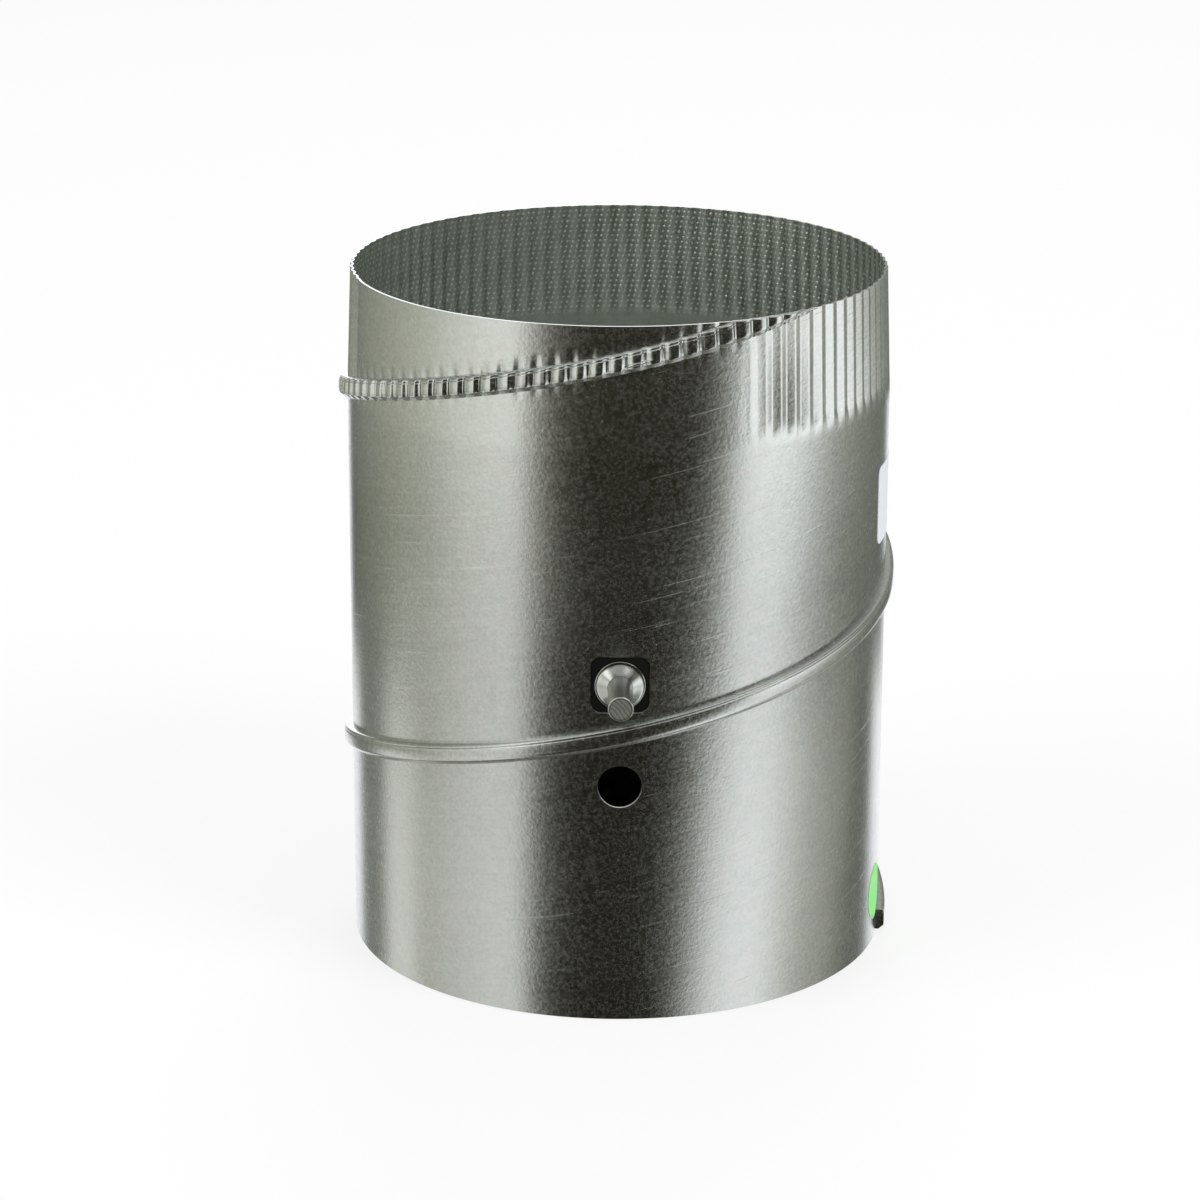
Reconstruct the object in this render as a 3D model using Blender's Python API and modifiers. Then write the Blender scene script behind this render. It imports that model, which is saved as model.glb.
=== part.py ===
"""Round air damper: a spiral lock-seam duct section with a shaft-driven butterfly blade.

Metres, +Z up along the duct. The origin is on the duct axis at the plain lower rim, the crimped
end is up, and the shaft runs along Y with its drive end towards -Y. Around the duct, an angle is
counted from the front (-Y) towards +X.
"""

import math

import bmesh
import bpy
from mathutils import Matrix, Vector

# Duct
DUCT_DIAMETER = 0.1778
DUCT_LENGTH = 0.2286
SHEET = 0.0007

# Spiral lock seam, a folded ridge that climbs one pitch for each turn
SEAM_PITCH = 0.1205
SEAM_FRONT_Z = 0.0968
SEAM_WIDTH = 0.0070
SEAM_HEIGHT = 0.0028
SEAM_CHAMFER = 0.0007
SEAM_END_GAP = 0.00005

# Crimped end: narrow flutes pressed in between flat lands, which draw in towards the rim. From one
# angle to another the rolls ran flat, and notched only the seam
CRIMP_COUNT = 96
CRIMP_LENGTH = 0.0401
CRIMP_RUNOUT = 0.0060
CRIMP_TAPER = 0.0015
CRIMP_DEPTH = 0.0006
CRIMP_COLUMNS = 3
CRIMP_FADE_BAND = 0.0055
FLAT_FROM = -88.0
FLAT_TO = 27.0

# Shaft and what it turns in
SHAFT_DIAMETER = 0.00794
SHAFT_Z = 0.1135
FRONT_STUB = 0.0226
REAR_STUB = 0.0200
SHAFT_CHAMFER = 0.0004
BEARING_SIDE = 0.0179
BEARING_CORNER = 0.0030
BEARING_FLANGE = 0.0260
BEARING_FLANGE_EDGE = 0.0012
BEARING_RECESS = 0.0002
COLLAR_DIAMETER = 0.0160
COLLAR_RIM = 0.0010
COLLAR_HEIGHT = 0.0028
COLLAR_SHEET = 0.0006
COLLAR_CROWN = 0.0009

# Hole below the shaft
SERVICE_HOLE = 0.0140
SERVICE_HOLE_Z = 0.0796

# Blade: two round plates with a pressed channel for the shaft, and an edge seal between them
PLATE_SHEET = 0.0009
PLATE_EDGE_GAP = 0.0032
SEAL_THICKNESS = 0.0032
SEAL_EDGE_GAP = 0.0005
SEAL_BAND = 0.0137
CHANNEL_HALF_CREST = 0.0047

# Fasteners of the blade
BOLT_DIAMETER = 0.0040
BOLT_SPREAD = 0.0600
BOLT_HEAD_DIAMETER = 0.0078
BOLT_HEAD_HEIGHT = 0.0026
HEAD_FLAT_SHARE = 0.6
BOLT_TIP = 0.0014
WASHER_DIAMETER = 0.0090
WASHER_THICKNESS = 0.0008
NUT_ACROSS_FLATS = 0.0070
NUT_HEIGHT = 0.0032
RIVET_DIAMETER = 0.0032
RIVET_HEAD_DIAMETER = 0.0064
RIVET_HEAD_HEIGHT = 0.0013
RIVET_SHOULDER_DROP = 0.0002
RIVET_TAIL_DIAMETER = 0.0054
RIVET_TAIL_HEIGHT = 0.0009
RIVET_EDGE = 0.0055
RIVET_ANGLES = (38.0, 70.0, 110.0, 142.0)

# Stops that the closed blade rests against
STOP_WIDTH = 0.0120
STOP_LEG = 0.0115
STOP_REACH = 0.0090
STOP_SHEET = 0.0012

# Stickers
LABEL_ANGLE = 71.0
LABEL_LENGTH = 0.0660
LABEL_HEIGHT = 0.0261
LABEL_Z = 0.1539
LABEL_CORNER = 0.0030
DOT_DIAMETER = 0.0190
DOT_ANGLE = 77.2
DOT_Z = 0.0165
STICKER_THICKNESS = 0.0002

# Clearances
SEAT_GAP = 0.0003
RUNNING_GAP = 0.0003
FLANGE_GAP = 0.0010
CUT_MARGIN = 0.0080

# Facets
FLATNESS = 0.0000005
CUT_TOLERANCE = 0.000001
MERGE_DISTANCE = 0.00001
SEAM_ROOT_STEPS = 8
ROUND_STEPS = 28
SMALL_STEPS = 10
WASHER_STEPS = 20
CORNER_STEPS = 4
SMOOTH_ANGLE = math.radians(35.0)
CHAMFER_ANGLE = math.radians(60.0)

RADIUS = DUCT_DIAMETER / 2
INNER_RADIUS = RADIUS - SHEET
SHAFT_RADIUS = SHAFT_DIAMETER / 2
CRIMP_START = DUCT_LENGTH - CRIMP_LENGTH
COLUMN = 2 * math.pi / CRIMP_COUNT
FINE_COLUMN = COLUMN / CRIMP_COLUMNS
FLUTE_PHASE = FINE_COLUMN
SEAL_RADIUS = INNER_RADIUS - SEAL_EDGE_GAP
PLATE_RADIUS = INNER_RADIUS - PLATE_EDGE_GAP
RIVET_CIRCLE = PLATE_RADIUS - RIVET_EDGE
PLATE_INNER_Z = SEAL_THICKNESS / 2 + SEAT_GAP
PLATE_OUTER_Z = PLATE_INNER_Z + PLATE_SHEET
CREST_INNER_Z = SHAFT_RADIUS + SEAT_GAP
CREST_OUTER_Z = CREST_INNER_Z + PLATE_SHEET
FRONT = (math.pi / 2, 0.0, 0.0)
REAR = (-math.pi / 2, 0.0, 0.0)

STEEL = (0.62, 0.64, 0.63)
BRIGHT_STEEL = (0.74, 0.75, 0.75)
NYLON = (0.015, 0.015, 0.016)
RUBBER = (0.03, 0.03, 0.03)
PAPER = (0.86, 0.86, 0.85)
GREEN = (0.30, 0.86, 0.30)


def clear_scene():
    for obj in list(bpy.data.objects):
        bpy.data.objects.remove(obj, do_unlink=True)


def new_collection(name):
    collection = bpy.data.collections.new(name)
    bpy.context.scene.collection.children.link(collection)
    return collection


def finish(name, color, roughness, metallic):
    material = bpy.data.materials.new(name)
    material.use_nodes = True
    shader = material.node_tree.nodes["Principled BSDF"]
    shader.inputs["Base Color"].default_value = (*color, 1.0)
    shader.inputs["Roughness"].default_value = roughness
    shader.inputs["Metallic"].default_value = metallic
    return material


def mesh_object(name, bm, collection, parent=None, material=None):
    """Turn a bmesh into a named object in a collection."""
    bmesh.ops.recalc_face_normals(bm, faces=bm.faces[:])
    mesh = bpy.data.meshes.new(name)
    bm.to_mesh(mesh)
    bm.free()
    mesh.shade_smooth()
    mesh.set_sharp_from_angle(angle=SMOOTH_ANGLE)
    obj = bpy.data.objects.new(name, mesh)
    collection.objects.link(obj)
    obj.parent = parent
    if material:
        mesh.materials.append(material)
    return obj


def part(name, bm, material, parent):
    return mesh_object(name, bm, PARTS, parent, material)


def cutter(name, bm, parent=None):
    obj = mesh_object(name, bm, CUTTERS, parent)
    obj.hide_render = True
    obj.display_type = "WIRE"
    return obj


def boolean(obj, other, operation):
    modifier = obj.modifiers.new(other.name, "BOOLEAN")
    modifier.operation = operation
    modifier.solver = "EXACT"
    modifier.object = other


def round_duct(angle, radius, z):
    """A point at an angle around the duct, counted from the front towards +X."""
    return Vector((radius * math.sin(angle), -radius * math.cos(angle), z))


def cylinder_bm(radius, low, high, steps=ROUND_STEPS):
    bm = bmesh.new()
    middle = Matrix.Translation((0.0, 0.0, (low + high) / 2))
    bmesh.ops.create_cone(bm, cap_ends=True, segments=steps, radius1=radius, radius2=radius,
                          depth=high - low, matrix=middle)
    return bm


def prism_bm(outline, low, high):
    """A flat outline in XY, extruded from one height to another."""
    bm = bmesh.new()
    face = bm.faces.new([bm.verts.new((x, y, low)) for x, y in outline])
    lifted = bmesh.ops.extrude_face_region(bm, geom=[face])["geom"]
    verts = [item for item in lifted if isinstance(item, bmesh.types.BMVert)]
    bmesh.ops.translate(bm, verts=verts, vec=(0.0, 0.0, high - low))
    return bm


def rounded_box(width, height, corner):
    """The outline of a rectangle with round corners, about its middle."""
    points = []
    for quarter in range(4):
        turn = quarter * math.pi / 2
        side_x = 1 if quarter in (0, 3) else -1
        side_y = 1 if quarter in (0, 1) else -1
        center_x = side_x * (width / 2 - corner)
        center_y = side_y * (height / 2 - corner)
        for step in range(CORNER_STEPS + 1):
            angle = turn + step * math.pi / 2 / CORNER_STEPS
            points.append((center_x + corner * math.cos(angle), center_y + corner * math.sin(angle)))
    return points


def turned(name, profile, material, parent, steps=ROUND_STEPS):
    """Revolve a profile of (radius, height) points about the local Z axis. It starts and ends
    on the axis, or else runs round to its first point."""
    bm = bmesh.new()
    verts = [bm.verts.new((radius, 0.0, height)) for radius, height in profile]
    following = verts[1:] if profile[0][0] == 0.0 else verts[1:] + verts[:1]
    for first, second in zip(verts, following):
        bm.edges.new((first, second))
    mesh = bpy.data.meshes.new(name)
    bm.to_mesh(mesh)
    bm.free()
    obj = bpy.data.objects.new(name, mesh)
    PARTS.objects.link(obj)
    obj.parent = parent
    mesh.materials.append(material)
    screw = obj.modifiers.new("turn", "SCREW")
    screw.axis = "Z"
    screw.steps = steps
    screw.render_steps = steps
    screw.use_merge_vertices = True
    screw.merge_threshold = MERGE_DISTANCE
    screw.use_smooth_shade = True
    return obj


def crimp_inset(angle, z, flat_front=True):
    """How far the crimping rolls set the sheet in at this angle and height."""
    share = min(max((z - CRIMP_START) / CRIMP_RUNOUT, 0.0), 1.0)
    drawn_in = CRIMP_TAPER * min(max((z - CRIMP_START) / CRIMP_LENGTH, 0.0), 1.0)
    column = round((angle - FLUTE_PHASE) / FINE_COLUMN) % CRIMP_COLUMNS
    past = (math.degrees(angle) - FLAT_FROM) % 360.0
    flat = flat_front and past < FLAT_TO - FLAT_FROM
    depth = CRIMP_DEPTH if column == 0 and not flat else 0.0
    return drawn_in + share * depth


def wall_ring(bm, radius, z, count):
    step = 2 * math.pi / count
    return [
        bm.verts.new(round_duct(i * step, radius - crimp_inset(i * step, z), z))
        for i in range(count)
    ]


def skin(bm, low, high):
    """Join two rings of the wall; the upper one may have more columns than the lower one."""
    ratio = len(high) // len(low)
    for i, corner in enumerate(low):
        following = low[(i + 1) % len(low)]
        upper = [high[(i * ratio + k) % len(high)] for k in range(ratio + 1)]
        middle = ratio // 2
        for k in range(middle):
            bm.faces.new((corner, upper[k + 1], upper[k]))
        bm.faces.new((corner, following, upper[middle + 1], upper[middle]))
        for k in range(middle + 1, ratio):
            bm.faces.new((following, upper[k + 1], upper[k]))


def split_bent_faces(bm):
    """Split each face that isn't flat into triangles, so that it can be cut."""
    bm.normal_update()
    bent = []
    for face in bm.faces:
        corner = face.verts[0].co
        heights = [abs((vert.co - corner).dot(face.normal)) for vert in face.verts]
        if max(heights) > FLATNESS:
            bent.append(face)
    bmesh.ops.triangulate(bm, faces=bent)


def duct_wall_bm():
    """The plain tube with its crimped end."""
    bm = bmesh.new()
    fine = CRIMP_COUNT * CRIMP_COLUMNS
    rows = (
        (0.0, CRIMP_COUNT),
        (CRIMP_START - CRIMP_FADE_BAND, CRIMP_COUNT),
        (CRIMP_START, fine),
        (CRIMP_START + CRIMP_RUNOUT, fine),
        (DUCT_LENGTH, fine),
    )
    outer = [wall_ring(bm, RADIUS, z, count) for z, count in rows]
    inner = [wall_ring(bm, INNER_RADIUS, z, count) for z, count in rows]
    for wall in (outer, inner):
        for low, high in zip(wall, wall[1:]):
            skin(bm, low, high)
    skin(bm, inner[0], outer[0])
    skin(bm, inner[-1], outer[-1])
    split_bent_faces(bm)
    return bm


def seam_z(angle):
    return SEAM_FRONT_Z + SEAM_PITCH * angle / (2 * math.pi)


def seam_bm():
    """The folded lock seam, lofted along its helix and notched where the crimps cross it."""
    half = SEAM_WIDTH / 2
    root = INNER_RADIUS + SHEET / 2
    section = [
        (RADIUS + SEAM_HEIGHT, -half),
        (RADIUS + SEAM_HEIGHT, half - SEAM_CHAMFER),
        (RADIUS + SEAM_HEIGHT - SEAM_CHAMFER, half),
    ]
    section += [(root, half - SEAM_WIDTH * k / SEAM_ROOT_STEPS) for k in range(SEAM_ROOT_STEPS + 1)]
    overrun = SEAM_WIDTH
    turn = SEAM_PITCH / (2 * math.pi)
    first = math.floor((-overrun - SEAM_FRONT_Z) / turn / COLUMN)
    crimped = math.floor((CRIMP_START - half - SEAM_FRONT_Z) / turn / COLUMN)
    last = math.ceil((DUCT_LENGTH + overrun - SEAM_FRONT_Z) / turn / COLUMN)
    angles = [i * COLUMN for i in range(first, crimped)]
    angles += [
        crimped * COLUMN + i * FINE_COLUMN for i in range((last - crimped) * CRIMP_COLUMNS + 1)
    ]
    bm = bmesh.new()
    rings = []
    for angle in angles:
        ring = []
        for radius, across in section:
            z = seam_z(angle) + across
            inset = crimp_inset(angle, z, flat_front=radius == root)
            ring.append(bm.verts.new(round_duct(angle, radius - inset, z)))
        rings.append(ring)
    for before, after in zip(rings, rings[1:]):
        for k in range(len(section)):
            following = (k + 1) % len(section)
            bm.faces.new((before[k], before[following], after[following], after[k]))
    for height, outwards in ((SEAM_END_GAP, -1.0), (DUCT_LENGTH - SEAM_END_GAP, 1.0)):
        geometry = bm.verts[:] + bm.edges[:] + bm.faces[:]
        cut = bmesh.ops.bisect_plane(bm, geom=geometry, dist=CUT_TOLERANCE,
                                     plane_co=(0.0, 0.0, height), plane_no=(0.0, 0.0, outwards),
                                     clear_outer=True)
        edges = [item for item in cut["geom_cut"] if isinstance(item, bmesh.types.BMEdge)]
        bmesh.ops.edgeloop_fill(bm, edges=edges)
    split_bent_faces(bm)
    return bm


def make_duct():
    """The tube, its seam and its three holes are one sheet-metal piece."""
    duct = part("duct_shell", duct_wall_bm(), finish("galvanised_sheet", STEEL, 0.36, 1.0), None)
    side = BEARING_SIDE + 2 * SEAT_GAP
    outline = rounded_box(side, side, BEARING_CORNER + SEAT_GAP)
    reach = (RADIUS - CUT_MARGIN, RADIUS + CUT_MARGIN)
    punches = (
        ("front_bearing_punch", prism_bm(outline, *reach), FRONT, SHAFT_Z),
        ("rear_bearing_punch", prism_bm(outline, *reach), REAR, SHAFT_Z),
        ("service_hole_punch", cylinder_bm(SERVICE_HOLE / 2, *reach), FRONT, SERVICE_HOLE_Z),
    )
    for name, bm, turn, height in punches:
        punch = cutter(name, bm)
        punch.location = (0.0, 0.0, height)
        punch.rotation_euler = turn
        boolean(duct, punch, "DIFFERENCE")
    boolean(duct, cutter("lock_seam_fold", seam_bm()), "UNION")


def make_bearing(name, turn, material):
    """A moulded bearing: a flange that seats on the curved wall inside, and a square boss in
    the punched hole. Local Z points out of the duct."""
    flange_back = INNER_RADIUS - SEAT_GAP
    edge = BEARING_FLANGE / 2
    flange_face = math.sqrt(flange_back ** 2 - edge ** 2) - BEARING_FLANGE_EDGE
    bearing = part(name, cylinder_bm(edge, flange_face, RADIUS), material, None)
    saddle = cutter(name + "_saddle", cylinder_bm(flange_back, -BEARING_FLANGE, BEARING_FLANGE,
                                                  CRIMP_COUNT))
    saddle.location = (0.0, 0.0, SHAFT_Z)
    boolean(bearing, saddle, "INTERSECT")
    outline = rounded_box(BEARING_SIDE, BEARING_SIDE, BEARING_CORNER)
    boss_back = flange_back - BEARING_FLANGE_EDGE
    boss = cutter(name + "_boss", prism_bm(outline, boss_back, RADIUS - BEARING_RECESS))
    bore = cutter(name + "_bore", cylinder_bm(SHAFT_RADIUS + RUNNING_GAP, flange_face - CUT_MARGIN,
                                              RADIUS + CUT_MARGIN))
    for obj in (bearing, boss, bore):
        obj.location = (0.0, 0.0, SHAFT_Z)
        obj.rotation_euler = turn
    boolean(bearing, boss, "UNION")
    boolean(bearing, bore, "DIFFERENCE")


def make_collar(name, turn, material, blade_axis):
    """A domed push-on collar, pressed from thin sheet, that keeps the shaft in its bearing."""
    base = RADIUS - BEARING_RECESS + SEAT_GAP
    bore = SHAFT_RADIUS + RUNNING_GAP
    rim = COLLAR_DIAMETER / 2
    top = base + COLLAR_HEIGHT
    profile = (
        (bore, top),
        (bore + COLLAR_SHEET, top),
        (rim - COLLAR_RIM, base + COLLAR_SHEET),
        (rim, base + COLLAR_SHEET),
        (rim, base),
        (rim - COLLAR_RIM - COLLAR_SHEET / 2, base),
        (bore, top - COLLAR_CROWN),
    )
    collar = turned(name, profile, material, blade_axis)
    collar.rotation_euler = turn


def make_shaft(material, blade_axis):
    bm = cylinder_bm(SHAFT_RADIUS, -RADIUS - REAR_STUB, RADIUS + FRONT_STUB)
    shaft = part("shaft", bm, material, blade_axis)
    shaft.rotation_euler = FRONT
    bevel = shaft.modifiers.new("end_chamfer", "BEVEL")
    bevel.width = SHAFT_CHAMFER
    bevel.segments = 1
    bevel.limit_method = "ANGLE"
    bevel.angle_limit = CHAMFER_ANGLE
    boolean(shaft, bolt_hole_cutter("shaft_bolt_holes", blade_axis), "DIFFERENCE")


def bolt_hole_cutter(name, blade_axis):
    reach = CREST_OUTER_Z + CUT_MARGIN
    bm = bmesh.new()
    for side in (-1, 1):
        matrix = Matrix.Translation((0.0, side * BOLT_SPREAD / 2, 0.0))
        bmesh.ops.create_cone(bm, cap_ends=True, segments=SMALL_STEPS,
                              radius1=BOLT_DIAMETER / 2 + SEAT_GAP,
                              radius2=BOLT_DIAMETER / 2 + SEAT_GAP, depth=2 * reach, matrix=matrix)
    return cutter(name, bm, blade_axis)


def rivet_places():
    for side in (-1, 1):
        for degrees in RIVET_ANGLES:
            yield round_duct(side * math.radians(degrees), RIVET_CIRCLE, 0.0)


def rivet_hole_cutter(name, blade_axis):
    bm = bmesh.new()
    for place in rivet_places():
        bmesh.ops.create_cone(bm, cap_ends=True, segments=SMALL_STEPS,
                              radius1=RIVET_DIAMETER / 2 + SEAT_GAP,
                              radius2=RIVET_DIAMETER / 2 + SEAT_GAP, depth=2 * CUT_MARGIN,
                              matrix=Matrix.Translation(place))
    return cutter(name, bm, blade_axis)


def make_plate(name, turn, material, blade_axis, holes):
    """A pressed round plate: flat, with a raised channel along Y for the shaft."""
    rise = CREST_INNER_Z - PLATE_INNER_Z
    channel_foot = CHANNEL_HALF_CREST + rise
    section = (
        (-PLATE_RADIUS, PLATE_INNER_Z),
        (-channel_foot, PLATE_INNER_Z),
        (-CHANNEL_HALF_CREST, CREST_INNER_Z),
        (CHANNEL_HALF_CREST, CREST_INNER_Z),
        (channel_foot, PLATE_INNER_Z),
        (PLATE_RADIUS, PLATE_INNER_Z),
    )
    bm = bmesh.new()
    front = [bm.verts.new((x, -PLATE_RADIUS, z)) for x, z in section]
    back = [bm.verts.new((x, PLATE_RADIUS, z)) for x, z in section]
    for k in range(len(section) - 1):
        bm.faces.new((front[k], front[k + 1], back[k + 1], back[k]))
    plate = part(name, bm, material, blade_axis)
    plate.rotation_euler = turn
    solidify = plate.modifiers.new("sheet", "SOLIDIFY")
    solidify.thickness = PLATE_SHEET
    solidify.offset = 1.0
    solidify.use_even_offset = True
    blank = cutter(name + "_blank", cylinder_bm(PLATE_RADIUS, -CUT_MARGIN, CUT_MARGIN, CRIMP_COUNT),
                   blade_axis)
    boolean(plate, blank, "INTERSECT")
    for hole in holes:
        boolean(plate, hole, "DIFFERENCE")


def seal_outline(side):
    """Half of the edge seal: a ring cut off clear of the bearing flanges."""
    clear_x = BEARING_FLANGE / 2 + FLANGE_GAP
    inner = SEAL_RADIUS - SEAL_BAND
    points = []
    for radius, forward in ((SEAL_RADIUS, True), (inner, False)):
        start = math.asin(clear_x / radius)
        count = CRIMP_COUNT // 2 if forward else CRIMP_COUNT // 4
        for i in range(count + 1):
            share = i / count if forward else 1 - i / count
            place = round_duct(side * (start + share * (math.pi - 2 * start)), radius, 0.0)
            points.append((place.x, place.y))
    return points


def make_seals(material, blade_axis, rivet_holes):
    for name, side in (("blade_seal_left", -1), ("blade_seal_right", 1)):
        bm = prism_bm(seal_outline(side), -SEAL_THICKNESS / 2, SEAL_THICKNESS / 2)
        boolean(part(name, bm, material, blade_axis), rivet_holes, "DIFFERENCE")


def make_bolts(material, blade_axis):
    """Two bolts clamp the plates to the shaft, each with two washers and a nut."""
    shank = BOLT_DIAMETER / 2
    hole = shank + SEAT_GAP
    washer_z = CREST_OUTER_Z + SEAT_GAP
    seat_z = washer_z + WASHER_THICKNESS + SEAT_GAP
    head = BOLT_HEAD_DIAMETER / 2
    head_top = seat_z + BOLT_HEAD_HEIGHT
    tip = -seat_z - NUT_HEIGHT - BOLT_TIP
    bolt_profile = (
        (0.0, head_top),
        (head * HEAD_FLAT_SHARE, head_top),
        (head, seat_z + BOLT_HEAD_HEIGHT / 2),
        (head, seat_z),
        (shank, seat_z),
        (shank, tip),
        (0.0, tip),
    )
    washer = WASHER_DIAMETER / 2
    washer_profile = (
        (hole, washer_z + WASHER_THICKNESS),
        (washer, washer_z + WASHER_THICKNESS),
        (washer, washer_z),
        (hole, washer_z),
    )
    corner = NUT_ACROSS_FLATS / 2 / math.cos(math.pi / 6)
    for place, side in (("front", -1), ("rear", 1)):
        y = side * BOLT_SPREAD / 2
        bolt = turned("blade_bolt_" + place, bolt_profile, material, blade_axis, SMALL_STEPS)
        bolt.location.y = y
        for level, turn in (("upper", 0.0), ("lower", math.pi)):
            name = "bolt_washer_" + place + "_" + level
            ring = turned(name, washer_profile, material, blade_axis, WASHER_STEPS)
            ring.location.y = y
            ring.rotation_euler.y = turn
        nut = part("blade_nut_" + place, cylinder_bm(corner, -seat_z - NUT_HEIGHT, -seat_z, 6),
                   material, blade_axis)
        nut.location.y = y
        boolean(nut, cutter("nut_bore_" + place, nut_bore_bm(y, hole, tip), blade_axis),
                "DIFFERENCE")


def nut_bore_bm(y, radius, tip):
    bm = cylinder_bm(radius, tip - CUT_MARGIN, 0.0, SMALL_STEPS)
    bmesh.ops.translate(bm, verts=bm.verts[:], vec=(0.0, y, 0.0))
    return bm


def make_rivets(material, blade_axis):
    """Tubular rivets close the plates on the seal, with a domed head above."""
    seat = PLATE_OUTER_Z + SEAT_GAP
    head = RIVET_HEAD_DIAMETER / 2
    tail = RIVET_TAIL_DIAMETER / 2
    shank = RIVET_DIAMETER / 2
    profile = (
        (0.0, seat + RIVET_HEAD_HEIGHT),
        (head * HEAD_FLAT_SHARE, seat + RIVET_HEAD_HEIGHT - RIVET_SHOULDER_DROP),
        (head, seat),
        (shank, seat),
        (shank, -seat),
        (tail, -seat),
        (tail, -seat - RIVET_TAIL_HEIGHT),
        (0.0, -seat - RIVET_TAIL_HEIGHT),
    )
    for number, place in enumerate(rivet_places(), start=1):
        rivet = turned("blade_rivet_" + str(number), profile, material, blade_axis, SMALL_STEPS)
        rivet.location = place


def make_stops(material):
    """Bent tabs, spot-welded inside the wall, one above the blade and one below it."""
    half = STOP_WIDTH / 2
    seat = math.sqrt((INNER_RADIUS - SEAT_GAP) ** 2 - half ** 2)
    foot = PLATE_OUTER_Z + SEAT_GAP
    outline = (
        (seat - STOP_REACH, foot),
        (seat, foot),
        (seat, foot + STOP_LEG),
        (seat - STOP_SHEET, foot + STOP_LEG),
        (seat - STOP_SHEET, foot + STOP_SHEET),
        (seat - STOP_REACH, foot + STOP_SHEET),
    )
    for name, turn in (("stop_tab_right", 0.0), ("stop_tab_left", math.pi)):
        bm = prism_bm(outline, -half, half)
        bmesh.ops.rotate(bm, verts=bm.verts[:], cent=(0.0, 0.0, 0.0),
                         matrix=Matrix.Rotation(math.pi / 2, 3, "X"))
        tab = part(name, bm, material, None)
        tab.location.z = SHAFT_Z
        tab.rotation_euler.y = turn


def make_sticker(name, columns, angle, z, material):
    """A thin sheet laid round the duct, from upright columns of (place along it, half height).
    Its middle is at an angle and a height."""
    base = RADIUS + SEAT_GAP
    top = base + STICKER_THICKNESS
    bm = bmesh.new()
    rings = []
    for along, half in columns:
        turn = angle + along / RADIUS
        corners = ((base, -half), (top, -half), (top, half), (base, half))
        rings.append([bm.verts.new(round_duct(turn, radius, z + up)) for radius, up in corners])
    for before, after in zip(rings, rings[1:]):
        for k in range(len(corners)):
            following = (k + 1) % len(corners)
            bm.faces.new((before[k], before[following], after[following], after[k]))
    bm.faces.new(rings[0])
    bm.faces.new(rings[-1])
    split_bent_faces(bm)
    part(name, bm, material, None)


def label_columns():
    """Round corners at each end, and slices no wider than a crimp between them."""
    left = []
    for step in range(CORNER_STEPS + 1):
        turn = step * math.pi / 2 / CORNER_STEPS
        left.append((LABEL_CORNER * (1.0 - math.cos(turn)) - LABEL_LENGTH / 2,
                     LABEL_HEIGHT / 2 - LABEL_CORNER * (1.0 - math.sin(turn))))
    start, half = left[-1]
    slices = math.ceil(-2 * start / RADIUS / COLUMN)
    middle = [(start - 2 * start * i / slices, half) for i in range(1, slices)]
    return left + middle + [(-along, up) for along, up in reversed(left)]


def dot_columns():
    turns = [(i + 1 / 2) * 2 * math.pi / ROUND_STEPS for i in range(ROUND_STEPS // 2)]
    radius = DOT_DIAMETER / 2
    return [(-radius * math.cos(turn), radius * math.sin(turn)) for turn in turns]


def make_stickers():
    middle = math.radians(LABEL_ANGLE) + LABEL_LENGTH / 2 / RADIUS
    make_sticker("blank_label", label_columns(), middle, LABEL_Z,
                 finish("label_paper", PAPER, 0.6, 0.0))
    make_sticker("inspection_dot", dot_columns(), math.radians(DOT_ANGLE), DOT_Z,
                 finish("green_sticker", GREEN, 0.5, 0.0))


def make_blade(blade_axis):
    sheet = finish("blade_sheet", STEEL, 0.4, 1.0)
    bright = finish("bright_steel", BRIGHT_STEEL, 0.22, 1.0)
    zinc = finish("zinc_plated_steel", BRIGHT_STEEL, 0.3, 1.0)
    make_shaft(finish("shaft_steel", STEEL, 0.32, 1.0), blade_axis)
    bolt_holes = bolt_hole_cutter("plate_bolt_holes", blade_axis)
    rivet_holes = rivet_hole_cutter("blade_rivet_holes", blade_axis)
    holes = (bolt_holes, rivet_holes)
    make_plate("blade_upper_plate", (0.0, 0.0, 0.0), sheet, blade_axis, holes)
    make_plate("blade_lower_plate", (0.0, math.pi, 0.0), sheet, blade_axis, holes)
    make_seals(finish("seal_rubber", RUBBER, 0.8, 0.0), blade_axis, rivet_holes)
    make_bolts(zinc, blade_axis)
    make_rivets(zinc, blade_axis)
    make_collar("shaft_collar_front", FRONT, bright, blade_axis)
    make_collar("shaft_collar_rear", REAR, bright, blade_axis)


clear_scene()
PARTS = new_collection("round_air_damper")
CUTTERS = new_collection("cutters")
BLADE_AXIS = bpy.data.objects.new("blade_axis", None)
BLADE_AXIS.location = (0.0, 0.0, SHAFT_Z)
PARTS.objects.link(BLADE_AXIS)
make_duct()
BEARING_NYLON = finish("black_nylon", NYLON, 0.5, 0.0)
make_bearing("bearing_front", FRONT, BEARING_NYLON)
make_bearing("bearing_rear", REAR, BEARING_NYLON)
make_stops(finish("stop_steel", STEEL, 0.4, 1.0))
make_blade(BLADE_AXIS)
make_stickers()
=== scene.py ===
"""The looks of a round air damper: a spiral duct section with a crimped end and a shaft through it.

Everything is in metres in the CAD frame: +Z up the duct, the shaft along Y, the front towards -Y.
Around the duct an angle is counted from the front towards +X.
"""

import math

import bmesh
import bpy
from mathutils import Matrix, Vector


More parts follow.
